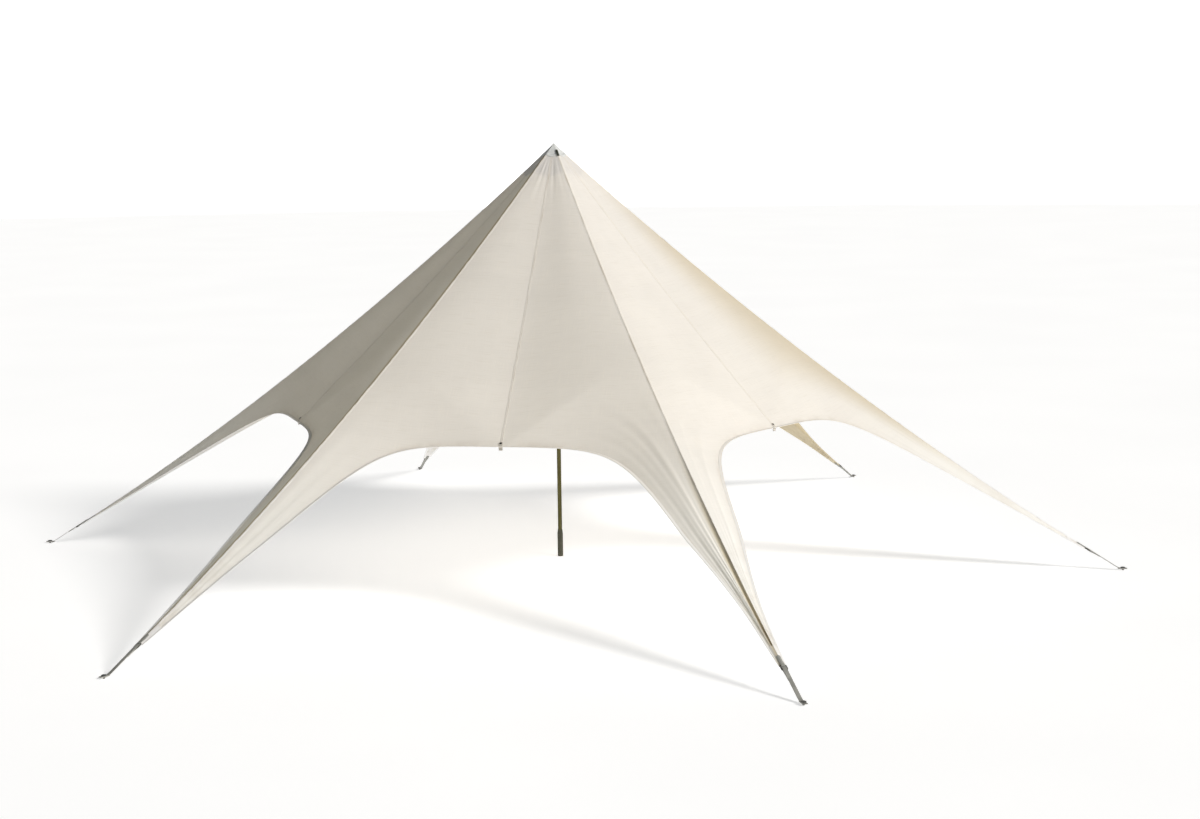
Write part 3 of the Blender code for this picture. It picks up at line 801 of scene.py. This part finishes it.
def make_tip_boot(leg):
    """Doubled canvas sewn round the end of a leg."""
    sewing = Sewing()
    x, lift = BOOT_ROWS[:, None], BOOT_LIFTS[:, None]
    on_leg = np.minimum(x, TIP_RADIUS)
    share = np.array([*BOOT_SHARES, 1, 1, 1, *BOOT_SHARES[::-1]])
    flat = [0] * len(BOOT_SHARES)
    past = np.array([*flat, *BOOT_FOLD, *flat]) / 1000
    rise = np.array([*BOOT_RISES, *BOOT_FOLD_RISES, *(-z for z in BOOT_RISES[::-1])]) / 1000
    edge_y = edge_at(on_leg)[0]
    y = edge_y * share + past
    x = x + 0 * y
    for side in (1, -1):
        z = cloth_height(leg, side, on_leg, np.minimum(y, edge_y)) + rise * lift
        cloth = np.stack([y, x - 3.6], axis=-1)
        sewing.add(place_half(leg, side, x, y, z), cloth, 0.3 + 0 * y, flip=side < 0,
                   warmth=painted_shade_at(leg, side, x, share + 0 * y))
    return sewing.finish(f"tip_boot_{leg}", patch_canvas)


def make_tip_loop(leg):
    """Webbing sewn on the end of a leg, round the near bar of the buckle."""
    route = [by_ridge(3.682, 0.0030), by_ridge(3.70, 0.0030), by_ridge(3.722, 0.0034),
             at_buckle(-0.0215, 0.0044), at_buckle(-0.0145, 0.0054), at_buckle(-0.0103, 0.0028),
             at_buckle(-0.0103, -0.0028), at_buckle(-0.0145, -0.0054),
             at_buckle(-0.0215, -0.0050), by_ridge(3.722, -0.0072), by_ridge(3.70, -0.0072)]
    make_ribbon(f"tip_loop_{leg}", route, leg_azimuth(leg), 0.024, 0.0020, leg_webbing,
                droop=leg_slope)


def make_buckle(leg):
    """Flat steel buckle with two slots, its bars rounded."""
    half_length, half_width = (BUCKLE_LENGTH - BUCKLE_BAR) / 2, (BUCKLE_WIDTH - BUCKLE_BAR) / 2
    rim = np.array([(sign_x * (half_length - BUCKLE_CORNER) + BUCKLE_CORNER * cos(a),
                     sign_y * (half_width - BUCKLE_CORNER) + BUCKLE_CORNER * sin(a))
                    for sign_x, sign_y, start in ((1, 1, 0), (-1, 1, pi / 2), (-1, -1, pi),
                                                  (1, -1, 3 * pi / 2))
                    for a in np.linspace(start, start + pi / 2, 7)])
    ahead = np.roll(rim, -1, axis=0) - np.roll(rim, 1, axis=0)
    outward = unit(np.stack([ahead[:, 1], -ahead[:, 0]], axis=-1))
    rim, outward = (np.concatenate([line, line[:1]]) for line in (rim, outward))
    # Section of a bar
    turn = np.linspace(0, 2 * pi, 17)
    side = np.sign(np.cos(turn)) * np.abs(np.cos(turn)) ** 0.6 * BUCKLE_BAR / 2
    up = np.sign(np.sin(turn)) * np.abs(np.sin(turn)) ** 0.6 * BUCKLE_THICKNESS / 2
    bar = np.linspace(-half_width, half_width, 9)[:, None]
    sewing = Sewing()
    for along, y in ((rim[:, :1] + outward[:, :1] * side, rim[:, 1:] + outward[:, 1:] * side),
                     (0 * bar + side * 0.92, bar + 0 * side)):
        x, z = at_buckle(along, up)
        grid = turn_about_pole(np.stack([x, y, z], axis=-1), leg_azimuth(leg))
        sewing.add(grid, np.stack([along, y], axis=-1))
    buckle = sewing.finish(f"leg_buckle_{leg}", buckle_metal, weld=0.00005)
    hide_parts(f"buckle_{leg}")


def make_strap(leg):
    """Webbing round the middle bar of the buckle, down to the stake and folded under its head."""
    top = BUCKLE_THICKNESS / 2 + 0.0018
    start = np.array(at_buckle(0, top))
    down = np.array((cos(STRAP_TILT), -sin(STRAP_TILT)))
    bend = start + down * (start[1] - STRAP_LEVEL) / sin(STRAP_TILT)
    at_bar = [(0.095, top - 0.0034), (0.052, top - 0.0040), (0.0235, -top - 0.0006),
              (0, -top - 0.0004), (-0.0050, -top - 0.0004), (-0.0056, 0), (-0.0050, top + 0.0004),
              (0, top + 0.0002), (0.0165, top), (0.05, top)]
    end, fold = STAKE_RADIUS + STRAP_END, STRAP_LEVEL - STRAP_LAYER
    route = [at_buckle(*place) for place in at_bar]
    route += [tuple(bend), (STAKE_RADIUS - 0.02, STRAP_LEVEL), (end, STRAP_LEVEL),
              (end + 0.003, STRAP_LEVEL - STRAP_LAYER / 2), (end, fold),
              (STAKE_RADIUS - 0.035, fold)]
    strap = make_ribbon(f"leg_strap_{leg}", route, leg_azimuth(leg), STRAP_WIDTH,
                        WEBBING_THICKNESS, leg_webbing)
    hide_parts(f"strap_{leg}")


# Eyelets, studs and buttons: closed profiles of (radius, height)

HALF_EYELET = ((0.0042, -0.0034), (0.0054, -0.0040), (0.0070, -0.0034), (0.0074, -0.0026),
               (0.0050, -0.0024))
TAB_EYELET = (*HALF_EYELET, *((radius, -height) for radius, height in HALF_EYELET[::-1]),
              (0.0039, 0.0))
TAB_STUD = ((0.0001, 0.0022), (0.0035, 0.0020), (0.0068, 0.0012), (0.0078, 0.0002),
            (0.0078, -0.0008), (0.0001, -0.0008))
POLE_BUTTON = ((0.0001, 0.0022), (0.0018, 0.0020), (0.0030, 0.0012), (0.0034, 0.0),
               (0.0034, -0.0015), (0.0001, -0.0015))
BUTTON_TURN = 0.3              # of the pole's buttons, from the front
BUTTON_RISE = 0.03             # over their joint


def make_ring(name, profile, centre, axis, material, steps=32):
    """Ring turned from a closed profile about an axis."""
    turn = np.linspace(0, 2 * pi, steps + 1)[:, None]
    radius, height = np.array([*profile, profile[0]]).T
    grid = np.stack([radius * np.cos(turn), radius * np.sin(turn), height + 0 * turn], axis=-1)
    to_axis = np.array(Vector(axis).to_track_quat("Z", "Y").to_matrix())
    sewing = Sewing()
    sewing.add(grid @ to_axis.T + np.array(centre),
               np.stack([turn * radius, 0 * turn + height], axis=-1))
    sewing.finish(name, material, weld=0.00005)


def make_arch_tab(number):
    """Webbing folded over the hem in the middle of an arch, with an eyelet and a stud."""
    azimuth = (number - 0.5) * BAY_ANGLE
    outer, inner = ARCH_RADIUS - 0.0002, ARCH_RADIUS - 0.0048
    bottom = ARCH_HEIGHT - 0.0043 - TAB_LENGTH + 0.0006
    route = [by_valley(outer - 0.020, 0.0034), (outer - 0.004, ARCH_HEIGHT + 0.0050),
             (outer + 0.0034, ARCH_HEIGHT - 0.001), (outer + 0.0004, ARCH_HEIGHT - 0.009),
             (outer, bottom + 0.003), (outer - 0.0002, bottom), (inner + 0.0002, bottom),
             (inner, bottom + 0.003), (inner, ARCH_HEIGHT - 0.012),
             by_valley(inner - 0.016, -0.0075)]
    tab = make_ribbon(f"tab_loop_{number}", route, azimuth, TAB_WIDTH, 0.0016, pale_webbing)
    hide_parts(f"arch_tab_{number}")
    out = np.array((cos(azimuth), sin(azimuth), 0))
    centre = (outer + inner) / 2 * out + np.array((0, 0, bottom + 0.0095))
    make_ring(f"tab_eyelet_{number}", TAB_EYELET, centre, out, eyelet_metal)
    radius, height = by_valley(outer - 0.013, 0.0052)
    lean = atan2(valley_height(radius) - valley_height(outer), outer - radius)
    normal = sin(lean) * out + np.array((0, 0, cos(lean)))
    make_ring(f"tab_stud_{number}", TAB_STUD, radius * out + np.array((0, 0, height)), normal,
              buckle_metal)


def make_stake_eyelet(leg):
    """Eyelet through both layers of a strap, round the stake."""
    low = STRAP_LEVEL - STRAP_LAYER - WEBBING_THICKNESS / 2
    high = STRAP_LEVEL + WEBBING_THICKNESS / 2
    inner, outer = STAKE_PIN_RADIUS + 0.0006, STAKE_PIN_RADIUS + 0.0065
    profile = [(inner, low - 0.0012), (inner + 0.001, low - 0.0018), (outer - 0.001, low - 0.0012),
               (outer, low + 0.0002), (outer, high - 0.0002), (outer - 0.001, high + 0.0003),
               (inner, high + 0.0003)]
    azimuth = leg_azimuth(leg)
    centre = (STAKE_RADIUS * cos(azimuth), STAKE_RADIUS * sin(azimuth), 0)
    make_ring(f"stake_eyelet_{leg}", profile, centre, (0, 0, 1), eyelet_metal)


def make_pole_buttons():
    """Spring button that locks each pole joint, on the side towards the front."""
    out = (sin(BUTTON_TURN), -cos(BUTTON_TURN), 0)
    for number, height in enumerate(POLE_JOINTS, 1):
        centre = (TUBE_RADIUS * out[0], TUBE_RADIUS * out[1], height + BUTTON_RISE)
        make_ring(f"pole_button_{number}", POLE_BUTTON, centre, out, buckle_metal, steps=20)


def dress_nodes():
    """Gives the pole and the stakes of the CAD model their paint, rubber, plastic and steel."""
    looks = {"pole_tube": pole_paint, "pole_foot": foot_rubber, "pole_head": head_plastic,
             "stake": stake_metal}
    for name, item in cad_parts.items():
        for start, material in looks.items():
            if name.startswith(start):
                for slot in item.material_slots:
                    slot.material = material


make_camera()
make_light()

canopy_canvas = canvas("canopy_canvas", (0.89, 0.858, 0.825), translucency=0.15)
# Seams and hems are painted lighter and warmer than the cloth: painted light, in place of the light
# that the doubled canvas lets through less
seam_canvas = canvas("seam_canvas", (0.97, 0.93, 0.865), 0.02, stitched=(0.0028, 0.0056))
hem_canvas = canvas("hem_canvas", (0.97, 0.93, 0.865), 0.02, stitched=(0.0155,))
patch_canvas = canvas("patch_canvas", (0.93, 0.90, 0.85), 0.02, stitched=(0.004, 0.012))
cap_canvas = canvas("cap_canvas", (0.80, 0.815, 0.80), 0.04, stitched=(0.0135,))
leg_webbing = webbing("leg_webbing", (0.38, 0.38, 0.35))
dark_webbing = webbing("dark_webbing", (0.045, 0.050, 0.035))
pale_webbing = webbing("pale_webbing", (0.76, 0.71, 0.63))
buckle_metal = painted_metal("buckle_metal", (0.065, 0.062, 0.055), bare=(0.45, 0.44, 0.42),
                             roughness=0.42, metallic=0.6)
eyelet_metal = painted_metal("eyelet_metal", (0.42, 0.40, 0.35), bare=(0.62, 0.60, 0.55),
                             roughness=0.34, metallic=0.9)
stake_metal = painted_metal("stake_metal", (0.19, 0.19, 0.185), bare=(0.50, 0.49, 0.47),
                            roughness=0.45, metallic=0.8)
pole_paint = painted_metal("pole_paint", (0.110, 0.101, 0.037), bare=(0.42, 0.40, 0.34),
                           roughness=0.60, metallic=0.0, worn=0.74, scale=14, shine=0.12,
                           dusty=0.08)
foot_rubber = moulded("foot_rubber", (0.070, 0.070, 0.048), roughness=0.75)
head_plastic = moulded("head_plastic", (0.05, 0.05, 0.05), roughness=0.50)

canopy = make_canopy()
seams = make_seams()
hems = make_hems()
cap = make_cap()
make_cap_loop()
sewn = seams + hems + [make_peak_patch()]
dress_nodes()
make_pole_buttons()
for number in range(1, LEG_COUNT + 1):
    sewn.append(make_tip_boot(number))
    make_tip_loop(number)
    make_buckle(number)
    make_strap(number)
    make_stake_eyelet(number)
    make_arch_tab(number)

make_studio()
